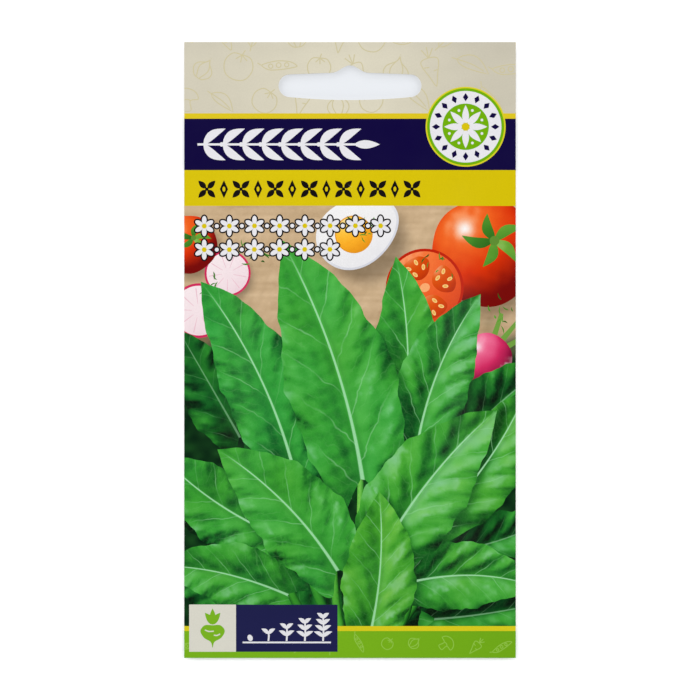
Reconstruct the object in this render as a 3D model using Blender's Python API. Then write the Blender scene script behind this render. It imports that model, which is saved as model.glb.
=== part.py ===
# Flat seed packet with a euro hang slot, lying on its back.
# Two printed, film-covered paper sheets are heat sealed round the edge and hold a heap of sorrel seeds.
# The frame: metres, +Z up, the header at +Y, the width along X, the origin under the middle of the packet.

import math

import bmesh
import bpy
import numpy as np
from mathutils import Vector
from mathutils.geometry import delaunay_2d_cdt

MM = 0.001

# Sizes of the packet, in metres
WIDTH = 80.0 * MM
LENGTH = 148.6 * MM
SHEET = 0.2 * MM  # thickness of the laminate
SEAL_GAP = 0.3 * MM  # kept between the two sheets where they are sealed
SEAL_HEIGHT = 1.0 * MM  # height of the seal plane above the surface that the packet lies on

# The pouch: where the sheets leave each other, measured from the packet's edges
SIDE_SEAL = 6.0 * MM
BOTTOM_SEAL = 7.8 * MM
HEADER = 20.3 * MM  # sealed flat, and holds the hang slot
FRONT_BULGE = 1.75 * MM
BACK_BULGE = SEAL_HEIGHT - SEAL_GAP / 2 - SHEET  # brings the back belly down to z = 0

# Widths of the slopes from the seals up to the belly: at the sides, at the bottom and under the header
FRONT_SLOPES = (17.0 * MM, 19.0 * MM, 46.0 * MM)
BACK_SLOPES = (12.0 * MM, 14.0 * MM, 24.0 * MM)

# The hang slot: a long slot with round ends, a low bow below and a round bump above the middle
SLOT_LENGTH = 34.5 * MM
SLOT_END = 5.5 * MM  # height at the two ends
SLOT_MIDDLE = 63.75 * MM  # height of the ends' middle line above the packet's middle
SLOT_BOW = 0.7 * MM
SLOT_RISE = 0.55 * MM
SLOT_BUMP = 1.65 * MM
BUMP_HALF_WIDTH = 4.4 * MM

# How finely the sheets are divided
CELL = 4.0 * MM
EDGE_CLEARANCE = 1.6 * MM  # inner points stay this far from an outline
ARC_STEPS = 10
SLOT_STEPS = 22
MERGE_WITHIN = 0.0001 * MM  # points nearer than this are taken as one
CREASE_ANGLE = math.radians(40.0)

# The seeds: three-sided nutlets, pointed at both ends
SEED_COUNT = 190
SEED_SIDES = 3
SEED_LENGTH = 2.3 * MM
SEED_RADIUS = 0.78 * MM
RING_PLACES = (-0.16, 0.2)  # shares of the length, from the middle
RING_SIZES = (1.0, 0.8)  # shares of the radius, so a seed is widest nearer to its base
SEED_SCALES = (0.9, 1.05)  # from the smallest to the largest seed
SEED_TILT = 0.2  # most that a seed leans up or down, in radians
SEED_CLIMB = 0.5  # steepest way from one seed to the next, in radians
SEED_CLEARANCE = 1.25 * MM  # least distance between the middles of two seeds
SEED_HOLD = 0.84  # share of the touching distance that a seed keeps to the one it lies against
HEAP_MIDDLE = (0.5 * MM, -37.0 * MM)
HEAP_REACH = (21.0 * MM, 15.0 * MM)
SEED_LOW, SEED_HIGH = 0.5 * MM, 2.35 * MM  # the seeds stay between these heights
SEED_DRAW = 20
FACING_LEAST = 1e-6  # faces turned away from a direction more than this don't bound it

# Colours, in linear light, and roughnesses
FRONT_COLOUR, FRONT_ROUGHNESS = (0.09, 0.32, 0.07), 0.32
BACK_COLOUR, BACK_ROUGHNESS = (0.62, 0.56, 0.42), 0.35
SEED_COLOUR, SEED_ROUGHNESS = (0.16, 0.065, 0.025), 0.4

HALF_WIDTH = WIDTH / 2
HALF_LENGTH = LENGTH / 2
POUCH_TOP = HALF_LENGTH - HEADER
POUCH_BOTTOM = -HALF_LENGTH + BOTTOM_SEAL
POUCH_SIDE = HALF_WIDTH - SIDE_SEAL


def clear_scene():
    for thing in list(bpy.data.objects):
        bpy.data.objects.remove(thing, do_unlink=True)


def material(name, colour, roughness, metallic=0.0):
    made = bpy.data.materials.new(name)
    made.use_nodes = True
    shader = made.node_tree.nodes["Principled BSDF"]
    shader.inputs["Base Color"].default_value = (*colour, 1.0)
    shader.inputs["Roughness"].default_value = roughness
    shader.inputs["Metallic"].default_value = metallic
    return made


def smooth_step(value):
    value = np.clip(value, 0.0, 1.0)
    return value * value * (3.0 - 2.0 * value)


def belly(x, y, slopes):
    # Share of the full bulge at a point: 0 on the seals, 1 on the belly, a smooth slope between them
    side, bottom, top = slopes
    across = smooth_step((POUCH_SIDE - np.abs(x)) / side)
    along = smooth_step((y - POUCH_BOTTOM) / bottom) * smooth_step((POUCH_TOP - y) / top)
    return across * along


def front_height(x, y):
    # Height of the front sheet's inner face
    return SEAL_HEIGHT + SEAL_GAP / 2 + FRONT_BULGE * belly(x, y, FRONT_SLOPES)


def back_height(x, y):
    # Height of the back sheet's inner face: its belly is level, so the packet rests on a flat spot
    return SEAL_HEIGHT - SEAL_GAP / 2 - BACK_BULGE * belly(x, y, BACK_SLOPES)


def sheet_outline():
    # The rectangle's corners, with points along its edges at the grid's spacing
    across = np.linspace(-HALF_WIDTH, HALF_WIDTH, round(WIDTH / CELL) + 1)
    along = np.linspace(-HALF_LENGTH, HALF_LENGTH, round(LENGTH / CELL) + 1)
    points = [(x, -HALF_LENGTH) for x in across[:-1]]
    points += [(HALF_WIDTH, y) for y in along[:-1]]
    points += [(x, HALF_LENGTH) for x in across[:0:-1]]
    points += [(-HALF_WIDTH, y) for y in along[:0:-1]]
    return points


def slot_outline():
    # Round ends, a bottom edge that bows down and a top edge that rises to the bump
    end_radius = SLOT_END / 2
    end_x = SLOT_LENGTH / 2 - end_radius
    stretch = np.linspace(-1.0, 1.0, SLOT_STEPS + 1)
    turn = np.linspace(-math.pi / 2, math.pi / 2, ARC_STEPS + 1)
    low_y = SLOT_MIDDLE - end_radius - SLOT_BOW * (1.0 - stretch**2)
    bump = np.cos(math.pi / 2 * np.clip(stretch * end_x / BUMP_HALF_WIDTH, -1.0, 1.0)) ** 2
    high_y = SLOT_MIDDLE + end_radius + SLOT_RISE * (1.0 - np.abs(stretch)) + SLOT_BUMP * bump
    points = [(s * end_x, y) for s, y in zip(stretch, low_y)]
    points += [
        (end_x + end_radius * math.cos(a), SLOT_MIDDLE + end_radius * math.sin(a))
        for a in turn[1:-1]
    ]
    points += [(s * end_x, y) for s, y in zip(stretch[::-1], high_y[::-1])]
    points += [
        (-end_x - end_radius * math.cos(a), SLOT_MIDDLE - end_radius * math.sin(a))
        for a in turn[1:-1]
    ]
    return points


def inner_points(outlines):
    # A staggered grid over the sheet, without the points that lie too close to an outline or in the slot
    edge = np.array([point for outline in outlines for point in outline])
    rows = np.arange(-HALF_LENGTH + CELL, HALF_LENGTH - CELL / 2, CELL)
    columns = np.arange(-HALF_WIDTH + CELL, HALF_WIDTH - CELL / 2, CELL)
    x, y = np.meshgrid(columns, rows)
    x = x + CELL / 4 * (-1.0) ** np.arange(len(rows))[:, None]
    points = np.column_stack([x.ravel(), y.ravel()])
    nearest = np.sqrt(((points[:, None, :] - edge[None, :, :]) ** 2).sum(axis=2)).min(axis=1)
    in_slot = (np.abs(points[:, 0]) < SLOT_LENGTH / 2) & (
        np.abs(points[:, 1] - SLOT_MIDDLE) < SLOT_END / 2 + SLOT_BOW
    )
    return points[(nearest > EDGE_CLEARANCE) & ~in_slot]


def sheet(name, height, outwards, look):
    # A flat triangulated blank with the slot cut out, bent to its height and given the sheet's thickness
    outlines = [sheet_outline(), slot_outline()]
    points = [Vector(p) for outline in outlines for p in outline]
    first = len(outlines[0])
    faces = [list(range(first)), list(range(first, len(points)))]
    points += [Vector(p) for p in inner_points(outlines).tolist()]
    flat, _, triangles, _, _, origins = delaunay_2d_cdt(points, [], faces, 0, MERGE_WITHIN)
    slot_face = 1
    kept = [
        triangle
        for triangle, origin in zip(triangles, origins)
        if origin and slot_face not in origin
    ]
    x = np.array([p.x for p in flat])
    y = np.array([p.y for p in flat])
    z = height(x, y)
    mesh = bpy.data.meshes.new(name)
    mesh.from_pydata(np.column_stack([x, y, z]).tolist(), [], kept)
    blank = bmesh.new()
    blank.from_mesh(mesh)
    loose = [vertex for vertex in blank.verts if not vertex.link_faces]
    bmesh.ops.delete(blank, geom=loose, context="VERTS")
    blank.to_mesh(mesh)
    blank.free()
    made = bpy.data.objects.new(name, mesh)
    bpy.context.scene.collection.objects.link(made)
    thickness = made.modifiers.new("sheet thickness", "SOLIDIFY")
    thickness.thickness = SHEET
    thickness.offset = outwards
    thickness.use_even_offset = False
    mesh.materials.append(look)
    mesh.shade_smooth()
    mesh.set_sharp_from_angle(angle=CREASE_ANGLE)
    return made


def seed_shape(scale):
    # Corners of one nutlet: its base point, its two three-cornered rings and its tip
    corners = [(-0.5 * SEED_LENGTH, 0.0, 0.0)]
    for place, size in zip(RING_PLACES, RING_SIZES):
        for side in range(SEED_SIDES):
            turn = 2.0 * math.pi * side / SEED_SIDES
            corners.append(
                (
                    place * SEED_LENGTH,
                    size * SEED_RADIUS * math.cos(turn),
                    size * SEED_RADIUS * math.sin(turn),
                )
            )
    corners.append((0.5 * SEED_LENGTH, 0.0, 0.0))
    return np.array(corners) * scale


def seed_faces():
    # Triangles from the base to the first ring, between the rings, and from the second ring to the tip
    base, first, second = 0, 1, 1 + SEED_SIDES
    tip = second + SEED_SIDES
    faces = []
    for side in range(SEED_SIDES):
        after = (side + 1) % SEED_SIDES
        faces.append((base, first + after, first + side))
        faces.append((tip, second + side, second + after))
        faces.append((first + side, first + after, second + side))
        faces.append((first + after, second + after, second + side))
    return faces


def turned(points, heading, tilt, roll):
    # Rolled about the seed's length, tilted, then turned to its heading
    cos_r, sin_r = math.cos(roll), math.sin(roll)
    cos_t, sin_t = math.cos(tilt), math.sin(tilt)
    cos_h, sin_h = math.cos(heading), math.sin(heading)
    about_length = np.array([[1, 0, 0], [0, cos_r, -sin_r], [0, sin_r, cos_r]])
    about_side = np.array([[cos_t, 0, sin_t], [0, 1, 0], [-sin_t, 0, cos_t]])
    about_up = np.array([[cos_h, -sin_h, 0], [sin_h, cos_h, 0], [0, 0, 1]])
    return points @ (about_up @ about_side @ about_length).T


def reach_along(points, faces, direction):
    # Distance from a convex shape's middle to its surface along a direction
    corner = points[np.array(faces)]
    normal = np.cross(corner[:, 1] - corner[:, 0], corner[:, 2] - corner[:, 0])
    normal /= np.linalg.norm(normal, axis=1)[:, None]
    depth = (normal * corner[:, 0]).sum(axis=1)
    facing = normal @ direction
    bounds = facing > FACING_LEAST
    return (depth[bounds] / facing[bounds]).min()


def heap_of_seeds():
    # Each seed lies against an earlier one and sinks a little into it, so the heap is one body
    draw = np.random.default_rng(SEED_DRAW)
    faces = seed_faces()
    seeds, middles = [], []
    while len(seeds) < SEED_COUNT:
        shape = turned(
            seed_shape(draw.uniform(*SEED_SCALES)),
            draw.uniform(0.0, 2.0 * math.pi),
            draw.uniform(-SEED_TILT, SEED_TILT),
            draw.uniform(0.0, 2.0 * math.pi),
        )
        if seeds:
            carrier = draw.integers(len(seeds))
            heading = draw.uniform(0.0, 2.0 * math.pi)
            climb = draw.uniform(-SEED_CLIMB, SEED_CLIMB)
            way = np.array(
                [
                    math.cos(heading) * math.cos(climb),
                    math.sin(heading) * math.cos(climb),
                    math.sin(climb),
                ]
            )
            apart = SEED_HOLD * (
                reach_along(seeds[carrier], faces, way) + reach_along(shape, faces, -way)
            )
            middle = middles[carrier] + apart * way
        else:
            middle = np.array([*HEAP_MIDDLE, (SEED_LOW + SEED_HIGH) / 2])
        placed = shape + middle
        from_heap = (middle[:2] - np.array(HEAP_MIDDLE)) / np.array(HEAP_REACH)
        if (from_heap**2).sum() > 1.0:
            continue
        if placed[:, 2].min() < SEED_LOW or placed[:, 2].max() > SEED_HIGH:
            continue
        if middles and np.linalg.norm(np.array(middles) - middle, axis=1).min() < SEED_CLEARANCE:
            continue
        seeds.append(shape)
        middles.append(middle)
    return [shape + middle for shape, middle in zip(seeds, middles)], faces


def fused_seeds(look):
    # One Boolean union joins the heap's seeds
    shapes, faces = heap_of_seeds()
    group = bpy.data.collections.new("loose seeds")
    bpy.context.scene.collection.children.link(group)
    things = []
    for number, shape in enumerate(shapes):
        mesh = bpy.data.meshes.new(f"seed {number}")
        mesh.from_pydata(shape.tolist(), [], faces)
        thing = bpy.data.objects.new(f"seed {number}", mesh)
        things.append(thing)
    heap = bpy.data.objects.new("seeds", things[0].data)
    bpy.context.scene.collection.objects.link(heap)
    for thing in things[1:]:
        group.objects.link(thing)
    union = heap.modifiers.new("union", "BOOLEAN")
    union.operation = "UNION"
    union.operand_type = "COLLECTION"
    union.collection = group
    union.solver = "EXACT"
    graph = bpy.context.evaluated_depsgraph_get()
    joined = bpy.data.meshes.new_from_object(heap.evaluated_get(graph))
    heap.modifiers.remove(union)
    heap.data = joined
    for thing in things:
        bpy.data.objects.remove(thing, do_unlink=True)
    bpy.data.collections.remove(group)
    joined.materials.clear()
    joined.materials.append(look)
    joined.shade_flat()
    return heap


def build():
    clear_scene()
    front_look = material("printed front laminate", FRONT_COLOUR, FRONT_ROUGHNESS)
    back_look = material("printed back laminate", BACK_COLOUR, BACK_ROUGHNESS)
    seed_look = material("seed coat", SEED_COLOUR, SEED_ROUGHNESS)
    sheet("front_panel", front_height, 1.0, front_look)
    sheet("back_panel", back_height, -1.0, back_look)
    fused_seeds(seed_look)


build()
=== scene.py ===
import math

import bpy
import numpy as np
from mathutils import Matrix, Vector
from mathutils.geometry import delaunay_2d_cdt


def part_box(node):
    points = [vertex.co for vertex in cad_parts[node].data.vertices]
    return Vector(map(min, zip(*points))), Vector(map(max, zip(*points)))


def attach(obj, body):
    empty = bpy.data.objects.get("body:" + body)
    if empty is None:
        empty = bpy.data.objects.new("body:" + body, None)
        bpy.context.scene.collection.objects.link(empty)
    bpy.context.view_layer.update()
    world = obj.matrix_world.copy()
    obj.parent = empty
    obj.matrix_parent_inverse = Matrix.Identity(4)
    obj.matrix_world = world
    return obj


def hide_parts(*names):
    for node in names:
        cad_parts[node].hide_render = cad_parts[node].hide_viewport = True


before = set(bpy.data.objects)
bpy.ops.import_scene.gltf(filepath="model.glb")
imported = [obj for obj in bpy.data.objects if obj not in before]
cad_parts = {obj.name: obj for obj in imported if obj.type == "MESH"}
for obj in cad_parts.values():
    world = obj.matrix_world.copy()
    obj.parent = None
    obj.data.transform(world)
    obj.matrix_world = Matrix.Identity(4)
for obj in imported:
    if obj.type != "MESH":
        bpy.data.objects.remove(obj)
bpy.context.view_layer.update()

# Seed packet lying on its back, seen from straight above.
# The print is drawn in millimetres: x to the right, y up to the header, from the packet's middle.
# Each printed shape is an outline with an ink, and a later shape lies over an earlier one. One constrained
# triangulation cuts all outlines into the sheet, so the print is sharp and its inks sit at the corners.

millimetre = 0.001
fullTurn = 2 * math.pi
draw = np.random.default_rng(7)
lowCorner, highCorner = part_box("front_panel")

packet = {
    "halfWidth": (highCorner[0] - lowCorner[0]) / 2 / millimetre,
    "halfLength": (highCorner[1] - lowCorner[1]) / 2 / millimetre,
    "sealHeight": 1.0,  # the sealed edge above the floor
    "laminate": 0.11,
    "sealGap": 0.02,
    "frontBulge": 1.9,
    "backBulge": 0.87,
    "sideSeal": 6.0,
    "bottomSeal": 7.8,
    "header": 20.3,
    "frontSlopes": (17.0, 19.0, 46.0),  # how far the bulge takes to rise from the sides, bottom and header
    "backSlopes": (12.0, 14.0, 24.0),
}
bands = {  # the height of each band's lower edge, or its upper edge below the picture
    "header": 57.1,
    "upperStripe": 55.8,
    "navy": 43.4,
    "yellow": 34.75,
    "lowerStripe": -66.6,
    "green": -67.8,
}
pictureBox = (-40.5, bands["lowerStripe"] - 1, 40.5, bands["yellow"] + 1)
printing = {
    "light": 1.12,  # how bright a white surface is under the lamps, so inks are printed that much darker
    "haze": 0.004,  # the film's faint glare over the whole print, taken off the inks
    "darkest": 0.0005,
}


def toLinear(colour):
    # sRGB 0..255 to the linear ink that looks so under the lamps
    c = np.asarray(colour, float) / 255
    linear = np.where(c <= 0.04045, c / 12.92, ((c + 0.055) / 1.055) ** 2.4)
    return np.maximum(linear - printing["haze"], printing["darkest"]) / printing["light"]


def smooth(low, high, value):
    # 0 below low, 1 above high, 3t^2 - 2t^3 between them
    t = np.clip((value - low) / (high - low), 0.0, 1.0)
    return t * t * (3 - 2 * t)


def blend(low, high, share):
    # A colour for each place: low where the share is 0 and high where it is 1
    share = share[:, None]
    return np.asarray(low) * (1 - share) + np.asarray(high) * share


def ripple(x, y, scale, seed, waves=9):
    # Smooth noise of about -1 to 1: a sum of waves whose directions, phases and lengths come from the seed
    rng = np.random.default_rng(seed)
    total = np.zeros_like(x, dtype=float)
    for k in range(waves):
        turn, phase = rng.uniform(0, fullTurn, 2)
        size = scale / rng.uniform(0.6, 2.4)
        total += np.sin((x * math.cos(turn) + y * math.sin(turn)) * fullTurn / size + phase)
    return total / (waves / 2)


# Outlines

def moved(points, x, y, size=1.0, turn=0.0):
    # Local points scaled, turned and put at x, y
    p = np.asarray(points, float) * size
    c, s = math.cos(turn), math.sin(turn)
    return np.column_stack([p[:, 0] * c - p[:, 1] * s + x, p[:, 0] * s + p[:, 1] * c + y])


def polar(cx, cy, reach, angle):
    # The place at a distance and an angle from a centre
    return cx + reach * math.cos(angle), cy + reach * math.sin(angle)


def ellipse(cx, cy, rx, ry=None, turn=0.0, steps=48):
    # Points round an ellipse, turned by an angle in radians
    ry = rx if ry is None else ry
    a = np.linspace(0, fullTurn, steps, endpoint=False)
    return moved(np.column_stack([rx * np.cos(a), ry * np.sin(a)]), cx, cy, 1.0, turn)


def bar(x0, y0, x1, y1):
    return np.array([(x0, y0), (x1, y0), (x1, y1), (x0, y1)], float)


def mirrored(half):
    # A closed outline from its right half, listed from the top down
    return half + [(-x, y) for x, y in reversed(half) if x > 0]


def curve(points, steps=6, closed=False):
    # Catmull-Rom curve through the points: each stretch is a cubic of its four nearest points
    p = np.asarray(points, float)
    if closed:
        a, b, c, d = np.roll(p, 1, 0), p, np.roll(p, -1, 0), np.roll(p, -2, 0)
    else:
        padded = np.vstack([2 * p[0] - p[1], p, 2 * p[-1] - p[-2]])
        a, b, c, d = padded[:-3], padded[1:-2], padded[2:-1], padded[3:]
    t = np.linspace(0, 1, steps, endpoint=False)[None, :, None]
    a, b, c, d = a[:, None], b[:, None], c[:, None], d[:, None]
    run = 0.5 * (2 * b + (c - a) * t + (2 * a - 5 * b + 4 * c - d) * t**2 + (3 * b - a - 3 * c + d) * t**3)
    run = run.reshape(-1, 2)
    return run if closed else np.vstack([run, p[-1]])


def normals(points, closed=False):
    # Unit normals to the left of a run of points
    p = np.asarray(points, float)
    step = np.roll(p, -1, 0) - np.roll(p, 1, 0) if closed else np.gradient(p, axis=0)
    step /= np.maximum(np.linalg.norm(step, axis=1), 1e-9)[:, None]
    return np.column_stack([-step[:, 1], step[:, 0]])


def stroke(points, width):
    # A line's outline: the run offset by half its width to the left, and back along the right
    side = normals(points) * (np.broadcast_to(width, len(points))[:, None] / 2)
    return np.vstack([points + side, (points - side)[::-1]])


def anticlockwise(points):
    # The outline from its lowest point on, run so that its inside is on its left there
    p = np.asarray(points, float)
    p = np.roll(p, -np.lexsort((p[:, 0], p[:, 1]))[0], axis=0)
    into, out = p[0] - p[-1], p[1] - p[0]
    return p if into[0] * out[1] - into[1] * out[0] > 0 else np.roll(p[::-1], 1, axis=0)


def divided(points, longest):
    # The outline with each long side cut into equal steps, so that it can bend with the sheet
    after = np.roll(points, -1, axis=0)
    parts = np.ceil(np.linalg.norm(after - points, axis=1) / longest).clip(1).astype(int)
    side = np.repeat(np.arange(len(points)), parts)
    step = (np.arange(len(side)) - np.repeat(np.cumsum(parts) - parts, parts)) / parts[side]
    return points[side] + step[:, None] * (after - points)[side]


def inset(points, width):
    # A closed outline moved inwards by a width
    points = anticlockwise(points)
    return points + normals(points, True) * width


def almond(x0, y0, x1, y1, width, bend=0.0, steps=9):
    # A small leaf between two points: half widths of sin(pi s^0.8)^0.9 on each side of a bowed middle line
    s = np.linspace(0, 1, steps)
    base, way = np.array([x0, y0]), np.array([x1 - x0, y1 - y0])
    left = np.array([-way[1], way[0]])
    middle = base + s[:, None] * way + (bend * np.sin(math.pi * s))[:, None] * left
    half = (width / 2 * np.sin(math.pi * s**0.8) ** 0.9)[:, None] * left / max(np.linalg.norm(left), 1e-9)
    return np.vstack([(middle + half)[:-1], (middle - half)[:0:-1]])


hangSlot = {
    "length": 34.5,
    "end": 5.5,  # height at the round ends
    "middle": 63.75,
    "bow": 0.7,
    "rise": 0.55,
    "bump": 1.65,
    "bumpHalf": 4.4,
}


def slotOutline(steps=44, turns=14):
    # Round ends, a bottom that bows down and a top that rises to a cosine-squared bump, as in the solid
    radius, middle = hangSlot["end"] / 2, hangSlot["middle"]
    endX = hangSlot["length"] / 2 - radius
    s = np.linspace(-1, 1, steps + 1)
    a = np.linspace(-math.pi / 2, math.pi / 2, turns + 1)[1:-1]
    low = middle - radius - hangSlot["bow"] * (1 - s**2)
    bump = np.cos(math.pi / 2 * np.clip(s * endX / hangSlot["bumpHalf"], -1, 1)) ** 2
    high = middle + radius + hangSlot["rise"] * (1 - np.abs(s)) + hangSlot["bump"] * bump
    right = np.column_stack([endX + radius * np.cos(a), middle + radius * np.sin(a)])
    left = np.column_stack([-endX - radius * np.cos(a), middle - radius * np.sin(a)])
    bottom, top = np.column_stack([s * endX, low]), np.column_stack([s * endX, high])
    return np.vstack([bottom, right, top[::-1], left])


# The print and the sheets that carry it

cutting = {
    "edgeStep": 1.005,  # longest step along the sheet's edge
    "outlineStep": 1.6,  # longest step along a printed outline
    "sheetSpacing": 2.4,  # of the loose points outside the picture
    "frontPictureSpacing": 0.8,
    "backPictureSpacing": 2.4,
    "jitter": 0.12,
    "mergeWithin": 1e-3,
    "innerSpacing": 3.0,
    "innerRim": 1.0,  # how far the inner face's loose points keep from its rim
    "innerMergeWithin": 1e-5,
    "sharpAngle": 40,
}


def plainInk(colour):
    linear = toLinear(colour)
    return lambda x, y: np.broadcast_to(linear, (len(x), 3))


class Print:
    def __init__(self, mirror=1):
        # mirror is -1 on the back, whose print is drawn as it is seen from behind
        self.mirror = mirror
        self.outlines, self.paints, self.places = [], [], []

    def add(self, outline, paint, place=None):
        # paint is an sRGB colour or a function of x, y that gives linear inks
        ink = paint if callable(paint) else plainInk(paint)
        outline = anticlockwise(outline * np.array([self.mirror, 1]))
        self.outlines.append(divided(outline, cutting["outlineStep"]))
        self.paints.append(lambda x, y: ink(self.mirror * x, y))
        self.places.append(place)

    def outlined(self, outline, line, fill, width):
        # A shape with a drawn edge: the line's ink with the filling laid over it
        self.add(outline, line)
        self.add(inset(outline, width), fill)


def topmost(outlines, places):
    # The last outline that each place lies in, or -1 outside the first: an outline holds a place when it
    # winds round it, counted by the edges that a ray to the right crosses
    x, y = places.T
    top = np.full(len(places), -1)
    for number in [0] + list(range(len(outlines) - 1, 0, -1)):
        x0, y0 = outlines[number].T
        near = (x > x0.min()) & (x < x0.max()) & (y > y0.min()) & (y < y0.max())
        near &= (top == (0 if number else -1))
        rows = np.flatnonzero(near)
        x1, y1 = np.roll(x0, -1), np.roll(y0, -1)
        rise = np.where(y1 == y0, 1e-12, y1 - y0)
        px, py = x[rows, None], y[rows, None]
        crosses = ((y0 > py) != (y1 > py)) & (px < x0 + (py - y0) * (x1 - x0) / rise)
        winding = (crosses * np.sign(rise)).sum(1)
        top[rows[winding != 0]] = number
    return top


def loosePoints(pictureSpacing):
    # Staggered grids of loose points: one over the sheet, and one with its own spacing inside the picture
    hw, hl = packet["halfWidth"], packet["halfLength"]
    grids = []
    spacings = (cutting["sheetSpacing"], pictureSpacing)
    for spacing, (x0, y0, x1, y1) in zip(spacings, ((-hw, -hl, hw, hl), pictureBox)):
        x, y = np.meshgrid(np.arange(x0 + spacing, x1 - spacing / 2, spacing),
                           np.arange(y0 + spacing, y1 - spacing / 2, spacing * 0.87))
        x = x + spacing / 4 * (-1.0) ** np.arange(len(x))[:, None]
        grid = np.column_stack([x.ravel(), y.ravel()])
        grids.append(grid + draw.uniform(-cutting["jitter"], cutting["jitter"], grid.shape) * spacing)
    (x, y), (x0, y0, x1, y1) = grids[0].T, pictureBox
    outside = (x < x0) | (x > x1) | (y < y0) | (y > y1)
    return np.vstack([grids[0][outside], grids[1]])


def inUse(flat, tris):
    # The places that the triangles use, and the triangles on them, all anticlockwise
    used, tris = np.unique(tris, return_inverse=True)
    flat, tris = flat[used], tris.reshape(-1, 3)
    a, b, c = flat[tris[:, 0]], flat[tris[:, 1]], flat[tris[:, 2]]
    clockwise = (b[:, 0] - a[:, 0]) * (c[:, 1] - a[:, 1]) - (b[:, 1] - a[:, 1]) * (c[:, 0] - a[:, 0]) < 0
    tris[clockwise] = tris[clockwise][:, ::-1]
    return used, flat, tris


def cutSheet(drawing, pictureSpacing):
    # The flat sheet cut along its edge, the printed outlines and the slot; each triangle's topmost shape
    hw, hl = packet["halfWidth"], packet["halfLength"]
    edge = divided(bar(-hw, -hl, hw, hl), cutting["edgeStep"])
    outlines = [edge] + drawing.outlines + [anticlockwise(slotOutline())]
    start = np.cumsum([0] + [len(outline) for outline in outlines])
    edges = np.vstack([np.column_stack([np.arange(a, b), np.roll(np.arange(a, b), -1)])
                       for a, b in zip(start[:-1], start[1:])])
    places = [Vector(p) for p in np.vstack(outlines + [loosePoints(pictureSpacing)]).tolist()]
    cut = delaunay_2d_cdt(places, edges.tolist(), [], 0, cutting["mergeWithin"])
    flat, tris = np.array([(p.x, p.y) for p in cut[0]]), np.array(cut[2])
    top = topmost(outlines, flat[tris].mean(1))
    kept = (top > 0) & (top < len(outlines) - 1)
    _, flat, tris = inUse(flat, tris[kept])
    return flat, tris, top[kept] - 1


def inksAt(drawing, flat, tris, top):
    # Each corner's ink and leaf place, worked out shape by shape
    ink, place = np.zeros((2, len(tris), 3, 3))
    order = np.argsort(top, kind="stable")
    shapes, first = np.unique(top[order], return_index=True)
    for shape, rows in zip(shapes, np.split(order, first[1:])):
        x, y = flat[tris[rows]].reshape(-1, 2).T
        ink[rows] = drawing.paints[shape](x, y).reshape(-1, 3, 3)
        if drawing.places[shape]:
            place[rows] = drawing.places[shape](x, y).reshape(-1, 3, 3)
    return ink, place


def borderLoops(border, flat):
    # The border's edges joined end to end, each loop anticlockwise
    after = dict(border.tolist())
    loops = []
    while after:
        loop = [next(iter(after))]
        while loop[-1] in after:
            loop.append(after.pop(loop[-1]))
        x, y = flat[loop].T
        area = np.sum(x[:-1] * y[1:] - x[1:] * y[:-1])
        loops.append(loop[:-1] if area > 0 else loop[:0:-1])
    return loops


def innerFace(flat, tris):
    # The sheet's plain inner face: its rim meets the printed face's rim, and its inside is coarse
    edges = np.vstack([tris[:, [0, 1]], tris[:, [1, 2]], tris[:, [2, 0]]])
    key = edges.min(1).astype(np.int64) * len(flat) + edges.max(1)
    _, index, count = np.unique(key, return_index=True, return_counts=True)
    border = edges[index[count == 1]]
    loops = borderLoops(border, flat)
    names = np.concatenate(loops)
    start = np.cumsum([0] + [len(loop) for loop in loops])
    faces = [list(range(a, b)) for a, b in zip(start[:-1], start[1:])]
    spacing, rim = cutting["innerSpacing"], cutting["innerRim"]
    x, y = np.meshgrid(*[np.arange(spacing - half, half - rim, spacing)
                         for half in (packet["halfWidth"], packet["halfLength"])])
    loose = np.column_stack([x.ravel(), y.ravel()])
    gap = np.sqrt(((loose[:, None] - flat[names][None]) ** 2).sum(2)).min(1)
    places = [Vector(p) for p in np.vstack([flat[names], loose[gap > rim]]).tolist()]
    cut = delaunay_2d_cdt(places, [], faces, 0, cutting["innerMergeWithin"])
    found, _, inner, origin, _, owners = cut
    outer = int(np.argmax([np.ptp(flat[loop][:, 0]) for loop in loops]))
    inner = np.array([t for t, owner in zip(inner, owners) if owner == [outer]])
    used, found, inner = inUse(np.array([(p.x, p.y) for p in found]), inner)
    place = {old: new for new, old in enumerate(used)}
    rimOf = {int(names[k]): place[v] for v, ks in enumerate(origin) for k in ks if k < len(names)}
    below = np.array([[rimOf[a], rimOf[b]] for a, b in border.tolist()])
    return found, inner, border, below


def surfaceNormals(height, places, step=0.05):
    # Normals from the height's slopes, so that thin triangles between two inks don't show
    x, y = places[:, 0], places[:, 1]
    slopeX = (height(x + step, y) - height(x - step, y)) / (2 * step)
    slopeY = (height(x, y + step) - height(x, y - step)) / (2 * step)
    found = np.column_stack([-slopeX, -slopeY, np.ones_like(x)])
    return found / np.linalg.norm(found, axis=1)[:, None]


def inScene(name, data):
    made = bpy.data.objects.new(name, data)
    bpy.context.scene.collection.objects.link(made)
    return made


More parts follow.
